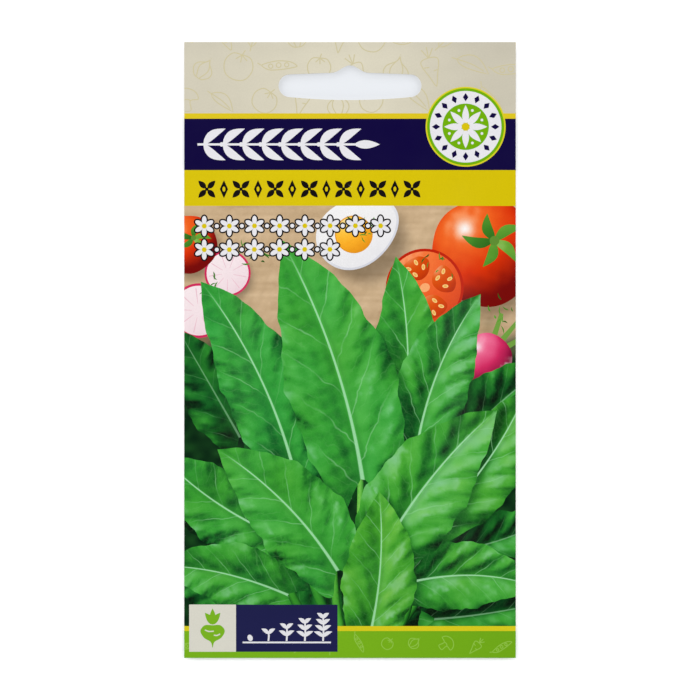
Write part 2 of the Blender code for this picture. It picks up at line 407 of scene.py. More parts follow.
def printedSheet(name, drawing, height, facing, pictureSpacing, looks):
    # The cut sheet bent to its height, with each corner's ink, closed by walls and a plain inner face that
    # lies the laminate's thickness away
    flat, tris, top = cutSheet(drawing, pictureSpacing)
    ink, place = inksAt(drawing, flat, tris, top)
    inner, innerTris, rim, below = innerFace(flat, tris)
    innerTris, below = innerTris + len(flat), below + len(flat)
    z, innerZ = height(*flat.T), height(*inner.T) - facing * packet["laminate"]
    points = np.vstack([np.column_stack([flat, z]), np.column_stack([inner, innerZ])]) * millimetre
    walls = np.vstack([
        np.column_stack([rim[:, 1], rim[:, 0], below[:, 0]]),
        np.column_stack([rim[:, 1], below[:, 0], below[:, 1]]),
    ])
    allTris = np.vstack([tris, innerTris[:, ::-1], walls])
    if facing < 0:
        allTris = allTris[:, ::-1]
        ink, place = ink[:, ::-1], place[:, ::-1]
    mesh = bpy.data.meshes.new(name)
    mesh.from_pydata(points.tolist(), [], allTris.tolist())
    printed, corners = 3 * len(tris), 3 * len(allTris)
    unprinted = np.arange(len(allTris)) >= len(tris)
    mesh.polygons.foreach_set("material_index", unprinted.astype(np.int32))
    mesh.polygons.foreach_set("use_smooth", np.arange(len(allTris)) < len(tris) + len(innerTris))
    inkOf = np.ones((corners, 4), np.float32)
    inkOf[:printed, :3] = ink.reshape(-1, 3)
    placeOf = np.zeros((corners, 3), np.float32)
    placeOf[:printed] = place.reshape(-1, 3)
    mesh.color_attributes.new("ink", "FLOAT_COLOR", "CORNER").data.foreach_set("color", inkOf.ravel())
    mesh.uv_layers.new(name="leafPlace").uv.foreach_set("vector", placeOf[:, :2].ravel())
    mesh.attributes.new("leafShare", "FLOAT", "CORNER").data.foreach_set("value", placeOf[:, 2].copy())
    for look in looks:
        mesh.materials.append(look)
    mesh.set_sharp_from_angle(angle=math.radians(cutting["sharpAngle"]))
    bend = np.zeros((corners, 3))  # a zero keeps the face's own normal
    bend[:printed] = facing * surfaceNormals(height, points[allTris[:len(tris)].ravel()] / millimetre)
    mesh.normals_split_custom_set(bend.tolist())
    print(name, len(allTris), "triangles,", len(drawing.outlines), "printed shapes")
    return inScene(name, mesh)


# The pouch's form

frontPuckers = {"height": 0.045, "rate": 0.62, "wander": 1.4, "slowRate": 0.17, "side": 0.5}
backPuckers = {"height": 0.03, "rate": 0.55, "wander": 1.1, "slowRate": 0.21, "side": -0.8}
slowWaves = {"height": 0.02, "length": 22.0}
dents = [
    {"at": (19.4, 45.6), "size": (2.2, 0.8), "depth": 0.054},
    {"at": (26.8, 39.1), "size": (1.1, 0.9), "depth": 0.048},
]


def belly(x, y, slopes):
    # Share of the bulge: smooth slopes in from the side seals, up from the bottom seal and to the header
    side, bottom, top = slopes
    hw, hl = packet["halfWidth"], packet["halfLength"]
    across = smooth(0, side, hw - packet["sideSeal"] - np.abs(x))
    along = smooth(0, bottom, y + hl - packet["bottomSeal"]) * smooth(0, top, hl - packet["header"] - y)
    return across * along


def puckers(x, y, full, form):
    # height sin(rate y + wander sin(slowRate y + side)) on the slopes, where 4 f (1 - f) is large
    wander = form["wander"] * np.sin(y * form["slowRate"] + form["side"] * np.sign(x))
    return form["height"] * np.sin(y * form["rate"] + wander) * 4 * full * (1 - full)


def frontHeight(x, y):
    # The printed face of the front: the bulge, puckers in from the side seals, slow waves and small dents
    full = belly(x, y, packet["frontSlopes"])
    z = packet["sealHeight"] + packet["sealGap"] / 2 + packet["laminate"] + packet["frontBulge"] * full
    z += puckers(x, y, full, frontPuckers)
    z += slowWaves["height"] * ripple(x, y, slowWaves["length"], 3) * smooth(0.02, 0.5, full)
    for dent in dents:
        u, v = (x - dent["at"][0]) / dent["size"][0], (y - dent["at"][1]) / dent["size"][1]
        z -= dent["depth"] * np.exp(-u**2 - v**2)
    return z


def backHeight(x, y):
    # The printed face of the back: the bulge downwards with a level belly, and puckers on its slopes
    full = belly(x, y, packet["backSlopes"])
    z = packet["sealHeight"] - packet["sealGap"] / 2 - packet["laminate"] - packet["backBulge"] * full
    return z + puckers(x, y, full, backPuckers)


# Printed leaves

lightWay = np.array([-0.42, 0.55, 0.72])
lightWay /= np.linalg.norm(lightWay)
glanceWay = (lightWay + np.array([0, 0, 1])) / np.linalg.norm(lightWay + np.array([0, 0, 1]))
veins = {"count": 5.2, "slant": 0.30, "curl": 0.9, "sideShift": 0.32}
relief = {"fold": 0.34, "foldDown": 0.24, "quilt": 0.050, "fineQuilt": 0.007, "wave": 0.085, "bumps": 0.10}
shadow = {"shift": (1.3, -1.5), "blur": 2.4, "depth": 0.62}
shading = {
    "contrast": 0.85,
    "patches": 0.05,
    "grain": 0.010,
    "darkBase": 0.10,
    "darkMargin": 0.05,
    "sheen": 0.62,
}
greenStops = {
    "at": (0.0, 0.22, 0.45, 0.68, 0.88, 1.0),
    "red": (8, 24, 56, 84, 120, 156),
    "green": (28, 94, 155, 181, 204, 220),
    "blue": (18, 36, 53, 76, 106, 140),
}
glanceInk = (152, 208, 178)


def leaf(base, tip, half, bend=0.0, tone=0.5, warm=0.0, phase=0.0, blunt=0.0):
    # A leaf's middle line is a parabola between base and tip, bowed sideways by bend times its length
    base, tip = np.array(base, float), np.array(tip, float)
    way = tip - base
    length = np.linalg.norm(way)
    left = np.array([-way[1], way[0]]) / length
    s = np.linspace(-0.16, 1.08, 63)
    line = base + s[:, None] * way + (bend * length * 4 * s * (1 - s))[:, None] * left
    along = np.gradient(line, axis=0)
    along /= np.linalg.norm(along, axis=1)[:, None]
    left = np.column_stack([-along[:, 1], along[:, 0]])
    return {"s": s, "line": line, "along": along, "left": left, "length": length, "half": half,
            "tone": tone, "warm": warm, "phase": phase, "blunt": blunt}


def leafPlace(blade, x, y):
    # Nearest place on the middle line: s from 0 at the base to 1 at the tip, u across in half widths
    gap = (x[:, None] - blade["line"][:, 0]) ** 2 + (y[:, None] - blade["line"][:, 1]) ** 2
    k = gap.argmin(1)
    dx, dy = x - blade["line"][k, 0], y - blade["line"][k, 1]
    s = blade["s"][k] + (dx * blade["along"][k, 0] + dy * blade["along"][k, 1]) / blade["length"]
    u = (dx * blade["left"][k, 0] + dy * blade["left"][k, 1]) / blade["half"]
    return s, u


def leafPoints(blade, s, u):
    # Places s, u on a leaf back to the sheet
    columns = (*blade["line"].T, *blade["left"].T)
    x, y, leftX, leftY = [np.interp(s, blade["s"], column) for column in columns]
    return np.column_stack([x + u * blade["half"] * leftX, y + u * blade["half"] * leftY])


def bladeEdge(blade, side):
    # One side of an arrow-shaped sorrel leaf from the stalk round its base lobe to the tip, waved
    blunt = blade["blunt"]
    knots = [(0.0, 0.03), (-0.05, 0.2), (-0.12, 0.40), (-0.09, 0.58), (0.02, 0.72), (0.14, 0.88),
             (0.30, 1.0), (0.48, 0.96), (0.64, 0.79), (0.79, 0.52 + 0.10 * blunt),
             (0.90, 0.27 + 0.10 * blunt), (0.965, 0.09 + 0.05 * blunt), (1.0, 0.0)]
    s, u = curve(knots, 9).T
    f = blade["phase"] + side
    wave = sum(size * np.sin(rate * s + shift * f) for size, rate, shift in
               ((0.035, 19, 3), (0.022, 41, 5), (0.012, 83, 9)))
    return s, side * u * (1 + wave * smooth(0.0, 0.12, s) * smooth(1.0, 0.93, s))


def bladeOutline(blade):
    left, right = [leafPoints(blade, *bladeEdge(blade, side)) for side in (1, -1)]
    return np.vstack([left, right[-2:0:-1]])


def bladeHeight(blade, x, y):
    # Relief for the leaf's shading: halves folded up from the midrib, quilted between its side veins, with
    # slow waves that grow towards the margin
    s, u = leafPlace(blade, x, y)
    a, side = np.abs(u), np.sign(u)
    f = blade["phase"] + 0.6 * side
    vein = veins["count"] * (s - veins["slant"] * a ** veins["curl"])
    vein += veins["sideShift"] * side + 0.12 * np.sin(9 * s + f)
    quilt = np.sin(math.pi * vein) ** 2 * smooth(0.02, 0.4, a) * (1 - 0.75 * smooth(0.6, 1.05, a))
    fine = np.sin(math.pi * (3.1 * vein + 1.5 * a)) ** 2 * smooth(0.1, 0.5, a)
    wave = a**2 * np.sin(1.7 * fullTurn * s + 2.2 * f) + 0.45 * a**3 * np.sin(3.9 * fullTurn * s + 4 * f)
    fold = relief["fold"] * a**1.15 - relief["foldDown"] * a**3
    bumps = relief["bumps"] * (ripple(x, y, 7.5, 11) + 0.1 * ripple(x, y, 2.2, 12)) * smooth(0, 0.2, a)
    folded = fold + relief["quilt"] * quilt + relief["fineQuilt"] * fine + relief["wave"] * wave
    return blade["half"] * folded + bumps


def greenOf(shade, warm, x, y):
    # Shade 0..1 to a leaf green, warmer or cooler, with a slow drift over the picture
    drift = 0.5 * ripple(x, y, 30.0, 21)
    channels = [greenStops[channel] for channel in ("red", "green", "blue")]
    c = np.column_stack([np.interp(shade, greenStops["at"], channel) for channel in channels])
    c[:, 0] *= 1 + 0.35 * warm + 0.08 * drift
    c[:, 2] *= 1 - 0.35 * warm - 0.12 * drift
    return np.clip(c, 0, 255)


def shadowOf(above, x, y):
    # Soft shade under the leaves above: how far inside each of them a point moved towards the lamp lies
    dark = np.zeros_like(x)
    for blade in above:
        reach = blade["half"] * 1.5
        low, high = blade["line"].min(0) - reach, blade["line"].max(0) + reach
        near = (x > low[0]) & (x < high[0]) & (y > low[1]) & (y < high[1])
        if not near.any():
            continue
        s, u = leafPlace(blade, x[near] - shadow["shift"][0], y[near] - shadow["shift"][1])
        edge = np.interp(s, (-0.1, 0.0, 0.14, 0.30, 0.48, 0.64, 0.79, 0.90, 1.0),
                         (0.55, 0.7, 0.88, 1.0, 0.96, 0.79, 0.54, 0.28, 0.03))
        soft = shadow["blur"] / blade["half"]
        inside = smooth(edge + soft, edge - soft * 0.8, np.abs(u))
        inside *= smooth(-0.14, -0.04, s) * smooth(1.04, 0.97, s)
        dark[near] = np.maximum(dark[near], inside)
    return dark


def bladeInk(blade, above):
    # The printed leaf: light on its relief, a pale blue-green glance where it faces the lamp, and the
    # shadows of the leaves that lie over it
    def paint(x, y, step=0.12):
        h = bladeHeight(blade, x, y)
        slopeX = (bladeHeight(blade, x + step, y) - h) / step
        slopeY = (bladeHeight(blade, x, y + step) - h) / step
        size = np.sqrt(slopeX**2 + slopeY**2 + 1)
        facing, glance = [(way[2] - way[0] * slopeX - way[1] * slopeY) / size
                          for way in (lightWay, glanceWay)]
        s, u = leafPlace(blade, x, y)
        shade = 0.5 + shading["contrast"] * (facing - lightWay[2]) + 0.5 * (blade["tone"] - 0.5)
        shade += shading["patches"] * ripple(x, y, 9.0, 31) + shading["grain"] * ripple(x, y, 1.6, 32)
        shade -= shading["darkBase"] * smooth(0.35, -0.05, s)
        shade -= shading["darkMargin"] * smooth(0.7, 1.0, np.abs(u))
        shade *= 1 - shadow["depth"] * shadowOf(above, x, y)
        colour = greenOf(np.clip(shade, 0, 1), blade["warm"], x, y)
        sheen = smooth(0.95, 0.998, glance) * (0.55 + 0.45 * ripple(x, y, 9.0, 41))
        sheen *= smooth(0.3, 0.65, shade)
        return toLinear(blend(colour, glanceInk, shading["sheen"] * np.clip(sheen, 0, 1)))

    def place(x, y):
        # s, u and how strongly the leaf's veins show
        s, u = leafPlace(blade, x, y)
        return np.column_stack([s, u, np.full_like(s, 0.35 + 0.65 * smooth(0.1, 0.35, blade["tone"]))])

    return paint, place


def stalk(points, width0, width1, tone, warm=0.35):
    # A stalk's outline, and its ink as a round stem lit from the upper left
    run = curve(points, 10)
    width = np.linspace(width0, width1, len(run))
    side = normals(run)

    def paint(x, y):
        k = ((x[:, None] - run[:, 0]) ** 2 + (y[:, None] - run[:, 1]) ** 2).argmin(1)
        u = ((x - run[k, 0]) * side[k, 0] + (y - run[k, 1]) * side[k, 1]) / (width[k] / 2)
        u = np.clip(u, -0.98, 0.98)
        facing = u * (lightWay[0] * side[k, 0] + lightWay[1] * side[k, 1]) + lightWay[2] * np.sqrt(1 - u**2)
        shade = tone * (0.35 + 0.85 * facing) * (0.75 + 0.25 * smooth(-66, -40, y))
        return toLinear(greenOf(np.clip(shade, 0, 1), warm, x, y))

    return stroke(run, width), paint


# The picture: sorrel leaves in front of vegetables on a wooden board

boardInks = {
    "board": (198, 170, 134),
    "streak": 15,
    "shaded": 26,
    "deep": (13, 34, 21),
    "deepDrift": (14, 34, 10),
}
skins = {  # the lit, plain and dark inks of each round thing
    "tomato": ((244, 112, 40), (216, 52, 14), (118, 16, 8)),
    "tomatoLeaf": ((120, 176, 62), (62, 128, 38), (30, 76, 26)),
    "tomatoFlesh": ((246, 128, 66), (232, 88, 38), (206, 60, 24)),
    "tomatoPocket": ((226, 92, 22), (206, 66, 10), (166, 40, 8)),
    "eggRim": ((240, 240, 240), (226, 226, 230), (188, 190, 204)),
    "eggWhite": ((242, 241, 240), (233, 232, 234), (214, 214, 222)),
    "yolk": ((252, 198, 62), (246, 170, 40), (224, 140, 26)),
    "radishFlesh": ((246, 232, 234), (240, 220, 225), (222, 190, 200)),
    "radish": ((246, 130, 164), (208, 44, 96), (120, 16, 52)),
    "radishTip": ((248, 236, 236), (232, 208, 214), (186, 140, 156)),
}


def boardInk(x, y):
    # Wood above with streaks along it, sinking into the dark green between the leaves below
    streak = ripple(x * 0.12 + 3, y * 1.6, 3.2, 51) * 0.6 + ripple(x, y, 1.1, 52) * 0.4
    board = np.array(boardInks["board"]) + boardInks["streak"] * streak[:, None]
    board -= boardInks["shaded"] * smooth(14, -6, y + 3 * ripple(x, y, 14, 53))[:, None]
    drift = (0.5 + 0.5 * ripple(x, y, 7, 54))[:, None]
    deep = np.array(boardInks["deep"]) + drift * np.array(boardInks["deepDrift"])
    share = smooth(4, -7, y + 2.5 * ripple(x, y, 10, 55) - 0.06 * np.abs(x))
    return toLinear(np.clip(blend(board, deep, share), 0, 255))


def ballInk(cx, cy, radius, skin, shine=0.0, shineSize=0.16, mottled=6.0):
    # A ball lit from the upper left: from its dark ink through its plain one to its lit one by how it faces
    # the lamp, with one shine
    def paint(x, y):
        u, v = (x - cx) / radius, (y - cy) / radius
        w = np.sqrt(np.clip(1 - u**2 - v**2, 0.0, 1))
        facing = lightWay[0] * u + lightWay[1] * v + lightWay[2] * w + 0.04 * ripple(x, y, mottled, 61)
        lit, plain, dark = skins[skin]
        stops = [(dark[k], plain[k], lit[k]) for k in range(3)]
        c = np.column_stack([np.interp(np.clip(facing, 0, 1), (0.0, 0.55, 1.0), stop) for stop in stops])
        spot = np.exp(-((u + 0.36) ** 2 + (v - 0.42) ** 2) / shineSize**2) * shine
        white = np.clip(spot + 0.18 * smooth(0.9, 1.0, facing), 0, 1)
        return toLinear(np.clip(blend(c, 250, white), 0, 255))
    return paint


def tomato(drawing, cx, cy, radius, turn):
    # Five shallow lobes, and five leaves round the stalk's eye
    a = np.linspace(0, fullTurn, 60, endpoint=False)
    lobes = 1 + 0.018 * np.cos(5 * a + turn)
    outline = np.column_stack([cx + radius * lobes * np.cos(a), cy + radius * lobes * np.sin(a)])
    drawing.add(outline, ballInk(cx, cy, radius * 1.03, "tomato", 0.8))
    eye = (cx + 0.18 * radius, cy + 0.22 * radius)
    for k in range(5):
        way = turn + k * fullTurn / 5 + 0.2 * math.sin(3 * k)
        tip = (eye[0] + 0.62 * radius * math.cos(way), eye[1] + 0.52 * radius * math.sin(way))
        drawing.add(almond(*eye, *tip, 0.2 * radius, 0.14), ballInk(*tip, radius, "tomatoLeaf"))
    drawing.add(ellipse(*eye, 0.09 * radius), (94, 140, 52))


def tomatoHalf(drawing, cx, cy, radius, turn, pockets=4):
    # A cut tomato: skin, flesh, a pale core and pockets with seeds
    drawing.add(ellipse(cx, cy, radius), (188, 36, 12))
    drawing.add(ellipse(cx, cy, radius * 0.93), ballInk(cx, cy, radius * 1.6, "tomatoFlesh", mottled=2.5))
    wall = [(0.22, 0.0), (0.34, 0.24), (0.62, 0.36), (0.78, 0.18), (0.80, -0.16), (0.62, -0.36),
            (0.34, -0.25)]
    seedPlaces = ((0.40, 0.10, 0.5), (0.50, -0.17, -0.4), (0.60, 0.20, 0.9), (0.68, -0.04, 0.1))
    for k in range(pockets):
        way = turn + k * fullTurn / pockets
        middle = moved([(0.54, 0.0)], cx, cy, radius, way)[0]
        drawing.add(moved(curve(wall, 5, True), cx, cy, radius, way),
                    ballInk(*middle, radius * 0.62, "tomatoPocket", 0.2, 0.3))
        for out, side, lean in seedPlaces:
            at = moved([(out, side)], cx, cy, radius, way)[0]
            drawing.add(ellipse(*at, 0.078 * radius, 0.046 * radius, way + lean, 14), (246, 206, 128))
            drawing.add(ellipse(*at, 0.045 * radius, 0.024 * radius, way + lean, 12), (232, 170, 84))
    drawing.add(ellipse(cx, cy, radius * 0.13, radius * 0.11, turn), (248, 170, 112))


def eggHalf(drawing, cx, cy, length, turn):
    # An ellipse that is blunter at one end, and a yolk towards that end
    a = np.linspace(0, fullTurn, 64, endpoint=False)
    egg = np.column_stack([np.cos(a), 0.76 * np.sin(a) * (1 - 0.14 * np.cos(a))])
    drawing.add(moved(egg, cx, cy, length, turn), ballInk(cx, cy, length * 1.5, "eggRim"))
    drawing.add(moved(egg, cx, cy, length * 0.94, turn), ballInk(cx, cy, length * 2.4, "eggWhite"))
    yolk = moved([(-0.12, 0.0)], cx, cy, length, turn)[0]
    drawing.add(ellipse(*yolk, length * 0.43), (222, 150, 34))
    drawing.add(ellipse(*yolk, length * 0.405), ballInk(*yolk, length * 0.62, "yolk", 0.25, 0.3, 2.0))


def radishSlice(drawing, cx, cy, radius, turn, rays=9):
    drawing.add(ellipse(cx, cy, radius), (206, 44, 92))
    drawing.add(ellipse(cx, cy, radius * 0.91), ballInk(cx, cy, radius * 2.2, "radishFlesh"))
    for k in range(rays):
        run = [polar(cx, cy, radius * r, turn + k * fullTurn / rays) for r in (0.25, 0.5, 0.82)]
        drawing.add(stroke(curve(run, 4), np.linspace(0.05, 0.12, 9) * radius / 3), (232, 190, 202))


def radish(drawing, cx, cy, radius, turn):
    # Three stalks, and a red body that pales towards its root
    for lean in (-0.35, 0.0, 0.38):
        run = [polar(cx, cy, radius * r, turn + math.pi / 2 + lean) for r in (0.8, 1.3, 1.9)]
        drawing.add(stroke(curve(run, 4), np.linspace(0.24, 0.16, 9) * radius), (112, 158, 66))
    body = mirrored([(0, 1.0), (0.62, 0.82), (0.98, 0.28), (0.92, -0.32), (0.55, -0.82), (0.12, -1.12),
                     (0.02, -1.7)])
    red = ballInk(cx, cy, radius * 1.12, "radish", 0.7)
    pale = ballInk(cx, cy, radius * 1.5, "radishTip", 0.2)

    def paint(x, y):
        along = (x - cx) * math.sin(turn) + (y - cy) * math.cos(turn)
        share = smooth(-0.55, -0.95, along / radius + 0.12 * ripple(x, y, 2.0, 71))
        return blend(red(x, y), pale(x, y), share)
    drawing.add(moved(curve(body, 6, True), cx, cy, radius, turn), paint)


def herbs(drawing, places, size):
    # Chopped green: short thin blades in loose tufts
    rng = np.random.default_rng(81)
    for cx, cy, count in places:
        for k in range(count):
            x, y = cx + rng.normal(0, size), cy + rng.normal(0, size * 0.8)
            way, long = rng.uniform(0, fullTurn), rng.uniform(1.0, 2.3)
            tone, width = rng.uniform(0.6, 1.2), rng.uniform(0.22, 0.46)
            blade = almond(x, y, *polar(x, y, long, way), width, 0.1, 6)
            drawing.add(blade, np.array([74, 138, 44]) * tone)


def onTheBoard(drawing):
    # The board with its things: each row gives the drawing function, x, y, size and turn
    things = [
        (radishSlice, -36.5, 9.5, 6.6, 0.3),
        (radishSlice, -29.5, 18.5, 5.6, 1.2),
        (eggHalf, 2.0, 28.5, 10.6, 0.55),
        (tomato, 32.5, 23.5, 13.0, 0.5),
        (tomatoHalf, 18.0, 15.0, 9.4, 0.4),
        (radish, 33.0, -2.0, 6.0, -0.7),
        (tomato, -39.0, 25.5, 7.0, 1.3),
    ]

    def board(x, y):
        # The board with a soft shadow to the lower right of each thing on it
        ink = boardInk(x, y)
        for _, cx, cy, size, _ in things:
            far = np.hypot(x - cx - 0.16 * size, y - cy + 0.22 * size) / size
            ink = ink * (1 - 0.5 * smooth(1.18, 0.7, far))[:, None]
        return ink

    band(drawing, pictureBox[1], pictureBox[3], board)
    for make, *where in things:
        make(drawing, *where)
    herbs(drawing, [(3, 29, 12), (20, 20, 8), (26, 6, 14), (-22, 23, 14), (38, 9, 12), (-33, 15, 5)], 2.2)


def leafLayers():
    # Leaves from the lowest to the topmost: base, tip, half width, bend, tone, warmth, phase and bluntness
    spots = [(-34, -8, -30), (37, -14, 48), (30, -24, 40), (-20, -12, -12), (20, -12, 24), (38, -44, 70),
             (-38, -36, -62), (2, -22, 8), (-12, -60, -50), (26, -58, 66), (10, -60, 20), (-34, -58, -70),
             (37, -62, 80)]
    dark = []
    for k, (x, y, lean) in enumerate(spots):
        way, reach = math.radians(90 - lean), 15 + 3 * math.sin(2.3 * k)
        dark.append(leaf(polar(x, y, -reach, way), polar(x, y, reach, way), 8.0 + math.sin(k),
                         0.05 * math.sin(k), 0.02 + 0.12 * math.sin(1.7 * k), 0.1, k))
    back = [
        leaf((-14, -27), (-36.0, 16.5), 10.0, -0.05, 0.44, -0.2, 0.4, 0.5),
        leaf((12, -26), (11.0, 22.5), 9.4, -0.05, 0.50, 0.1, 0.2, 0.2),
        leaf((16, -24), (31.5, 13.5), 9.0, 0.06, 0.45, 0.0, 1.9, 0.3),
        leaf((22, -40), (43.0, -9.0), 9.2, -0.05, 0.52, 0.35, 2.6, 0.4),
        leaf((-16, -45), (-46.0, -25.0), 9.5, 0.06, 0.40, 0.1, 3.2, 0.3),
        leaf((14, -56), (45.0, -57.0), 8.4, 0.07, 0.50, 0.2, 4.4, 0.5),
        leaf((-15, -59), (-46.0, -52.0), 8.0, -0.05, 0.44, 0.15, 5.1, 0.3),
    ]
    front = [
        leaf((3.0, -31.0), (-16.5, 26.5), 13.2, -0.045, 0.58, 0.0, 0.9, 0.2),
        leaf((7.0, -50.0), (35.5, -14.5), 11.2, 0.05, 0.60, 0.22, 2.2, 0.3),
        leaf((-3.0, -53.0), (-32.0, -24.0), 10.6, -0.06, 0.56, 0.05, 3.9, 0.3),
        leaf((5.0, -68.0), (7.0, -34.0), 8.8, -0.04, 0.62, 0.4, 5.7, 0.2),
    ]
    return dark, back, front


def picture(drawing):
    # The board, and over it the leaves, whose stalks run down to one root
    print("drawing the picture")
    onTheBoard(drawing)
    rootX, rootY = 1.0, -82.0
    castsFrom = 8.2  # leaves with a smaller half width throw no shadow
    dark, back, front = leafLayers()
    tones = [None] * len(dark) + [0.56] * len(back) + [0.78] * len(front)
    layers = dark + back + front
    for number, (blade, tone) in enumerate(zip(layers, tones)):
        x, y = blade["line"][10]
        if tone:
            knee = (x * 0.62 + rootX * 0.38 + 0.18 * (x - rootX), y * 0.6 + rootY * 0.4)
            drawing.add(*stalk([(x, y), knee, (rootX, rootY)], 1.4, 2.6, tone))
        above = [other for other in layers[number + 1:] if other["half"] > castsFrom]
        drawing.add(bladeOutline(blade), *bladeInk(blade, above))


# Ornaments for the bands

inks = {
    "beige": (217, 211, 190),
    "beigeShade": (200, 194, 176),
    "beigeLine": (203, 194, 156),
    "yellow": (214, 192, 17),
    "yellowShadedRight": (211, 189, 10),
    "upperYellow": (219, 195, 36),
    "lowerYellow": (215, 202, 34),
    "navy": (21, 14, 62),
    "plateNavy": (35, 36, 77),
    "plateWhite": (217, 215, 202),
    "plateGreen": (122, 178, 38),
    "white": (229, 228, 232),
    "black": (24, 20, 22),
    "green": (120, 176, 32),
    "greenShadedRight": (112, 168, 28),
    "greenLine": (143, 192, 72),
    "badgeGreen": (112, 172, 10),
    "limeRing": (214, 205, 40),
}


# Shares of painted shade in the header ink: to the left, to the right and at the top edge; mottling is the
# size of its random tone
headerShade = {"left": 0.55, "right": 1.0, "top": 0.3, "mottling": 1.5}


def headerInk(x, y):
    # Warm grey paper white, with painted shade that makes it a little darker to both sides and at the top
    # edge
    share = headerShade["left"] * smooth(0, -38, x) + headerShade["right"] * smooth(0, 38, x)
    share += headerShade["top"] * smooth(70, 76, y)
    mottling = headerShade["mottling"] * ripple(x, y, 12.0, 91)[:, None]
    return toLinear(blend(inks["beige"], inks["beigeShade"], share) + mottling)


def yellowInk(x, y):
    # The yellow band, with painted shade that darkens it a little towards the right
    return toLinear(blend(inks["yellow"], inks["yellowShadedRight"], smooth(-20, 45, x)))


def greenInk(x, y):
    # The green band, with painted shade that darkens it a little towards the right
    return toLinear(blend(inks["green"], inks["greenShadedRight"], smooth(-10, 45, x)))


def laurel(drawing, x0, x1, y, rise, pairs, colour):
    # A stalk with pairs of leaves that point along it, and a leaf at its end
    step = (x1 - x0) / (pairs + 1.4)
    drawing.add(stroke(np.array([(x0, y), ((x0 + x1) / 2, y), (x1 - step, y)]), 0.07 * rise), colour)
    for k in range(pairs):
        x = x0 + (k + 0.3) * step
        for side in (-1, 1):
            tip = (x + 1.15 * step, y + side * 0.5 * rise)
            drawing.add(almond(x, y, *tip, 0.27 * rise, 0.10 * side), colour)
        drawing.add(ellipse(x + 0.95 * step, y, 0.07 * rise, steps=16), colour)
    drawing.add(almond(x1 - 1.3 * step, y, x1, y, 0.27 * rise), colour)


def frieze(drawing, x0, x1, y, rise, colour, ground, count=13):
    # Four-leaved flowers and upright lozenges in turn
    for k in range(count):
        x = x0 + (k + 0.5) * (x1 - x0) / count
        if k % 2:
            lozenge = [(x - 1.0, y), (x, y - rise / 2), (x + 1.0, y), (x, y + rise / 2)]
            drawing.add(np.array(lozenge), colour)
            drawing.add(ellipse(x, y, 0.36, 0.62, steps=16), ground)
            continue
        for way in (45, 135, 225, 315):
            a = math.radians(way)
            drawing.add(almond(*polar(x, y, 0.3, a), *polar(x, y, 0.66 * rise, a), 1.35), colour)
        drawing.add(ellipse(x, y, 0.42, steps=16), colour)


def daisies(drawing, x0, x1, y, rise, count):
    # White six-petalled flowers with beads between them, all with a dark edge, and yellow middles
    step = (x1 - x0) / count
    for k in range(count):
        x = x0 + (k + 0.5) * step
        for grow, ink in ((0.36, inks["black"]), (0.0, inks["white"])):
            for petal in range(6):
                a = math.pi * (petal / 3 + 0.5)
                at = polar(x, y, 0.29 * rise, a)
                drawing.add(ellipse(*at, 0.21 * rise + grow, 0.115 * rise + grow, a, 20), ink)
            if k < count - 1:
                drawing.add(ellipse(x + step / 2, y, 0.10 * rise + grow, steps=16), ink)
        drawing.add(ellipse(x, y, 0.12 * rise, steps=20), inks["yellow"])


def vegetables():
    # Line drawings about one unit across, each a list of closed outlines and a list of open lines
    root = [(-0.5, 0.55), (0, 0.66), (0.5, 0.55), (0.56, 0.2), (0.3, -0.5), (0.02, -1.2), (-0.28, -0.5),
            (-0.55, 0.2)]
    globe = mirrored([(0, 0.8), (0.6, 0.72), (0.92, 0.1), (0.66, -0.62), (0, -0.85)])
    bulb = mirrored([(0, 1.15), (0.16, 0.7), (0.72, 0.25), (0.82, -0.25), (0.45, -0.75), (0, -0.85)])
    pod = [(-1.3, 0.25), (-0.6, 0.42), (0.2, 0.42), (1.0, 0.2), (1.4, -0.2), (0.8, -0.3), (0, -0.3),
           (-0.8, -0.2)]
    cap = mirrored([(0, 0.9), (0.7, 0.6), (0.9, 0.0), (0.3, -0.1), (0.34, -0.8)])
    peas = [ellipse(*pea, steps=16) for pea in ((-0.6, 0.08, 0.2), (0, 0.08, 0.22), (0.6, 0.02, 0.2))]
    rootTop = [[(0, 0.6), tip] for tip in ((-0.3, 1.2), (0.05, 1.3), (0.4, 1.15))]
    rootMarks = [[(-0.42, 0.1), (-0.1, 0.05)], [(0.35, -0.2), (0.1, -0.22)]]
    globeTop = [[(0, 0.75), tip] for tip in ((-0.3, 0.42), (0.05, 0.3), (0.4, 0.5), (0.1, 1.1))]
    bulbLines = [[(0, 0.9), (-0.42, 0.1), (-0.15, -0.75)], [(0.02, 0.9), (0.4, 0.1), (0.15, -0.75)]]
    return [
        ([curve(root, 5, True)], rootTop + rootMarks),
        ([curve(globe, 5, True)], globeTop),
        ([curve(bulb, 5, True)], bulbLines),
        ([curve(pod, 5, True)] + peas, [[(-1.3, 0.25), (-1.55, 0.45)]]),
        ([curve(cap, 4, True)], [[(-0.3, -0.05), (0, 0.05), (0.3, -0.05)]]),
        ([almond(-1.1, -0.4, 1.1, 0.5, 1.0, 0.1)], [[(-1.35, -0.55), (-0.2, 0.1), (0.7, 0.4)]]),
    ]


def scatteredLines(drawing, line, ground, box, gap, size, width, seed):
    # Vegetables on a staggered grid, each turned and nudged by the seeded draw, no kind twice running
    rng = np.random.default_rng(seed)
    kinds = vegetables()
    x0, y0, x1, y1 = box
    last = -1
    for row in range(round((y1 - y0) / gap / 0.86) + 1):
        for column in range(round((x1 - x0) / gap) + 1):
            cx = x0 + gap * (column + 0.5 * (row % 2)) + rng.uniform(-0.1, 0.1) * gap
            cy = y0 + gap * (0.3 + 0.86 * row) + rng.uniform(-0.1, 0.1) * gap
            turn, scale = rng.uniform(-1.2, 1.2), size * rng.uniform(0.85, 1.15)
            last = (last + 1 + int(rng.integers(len(kinds) - 1))) % len(kinds)
            closed, opened = kinds[last]
            for outline in closed:
                drawing.outlined(moved(outline, cx, cy, scale, turn), line, ground, width)
            for run in opened:
                drawing.add(stroke(curve(moved(run, cx, cy, scale, turn), 4), width), line)


